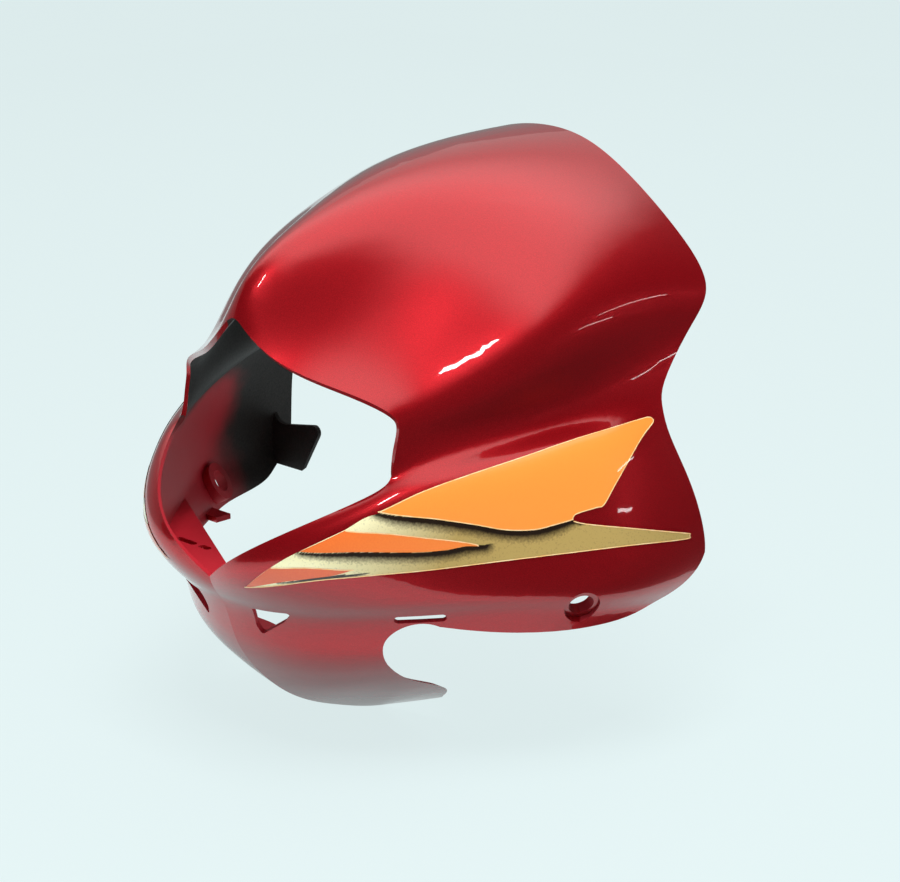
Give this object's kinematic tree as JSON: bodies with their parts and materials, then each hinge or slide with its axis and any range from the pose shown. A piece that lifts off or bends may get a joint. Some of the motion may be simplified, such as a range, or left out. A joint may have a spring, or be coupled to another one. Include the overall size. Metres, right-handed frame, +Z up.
{
  "type": "headlight cowl",
  "caption": "Moulded motorbike headlight cowl: peaked hood over an open lamp aperture, creased flanks with stripe decals, and a hooked chin below.",
  "frame": {"origin": "centre of the headlamp opening on the middle plane", "axes": "+Z up, +Y from the headlamp opening to the rear, +X to the rider's left; the middle plane is X = 0"},
  "size_m": [0.3068, 0.2402, 0.2935],
  "materials": {
    "painted_shell": "metallic red paint under clear lacquer outside, bare dark plastic inside",
    "printed_film": "printed vinyl film under lacquer"
  },
  "bodies": {
    "root": {"cowl_shell": "painted_shell", "left_decal": "printed_film", "right_decal": "printed_film"}
  },
  "joints": []
}
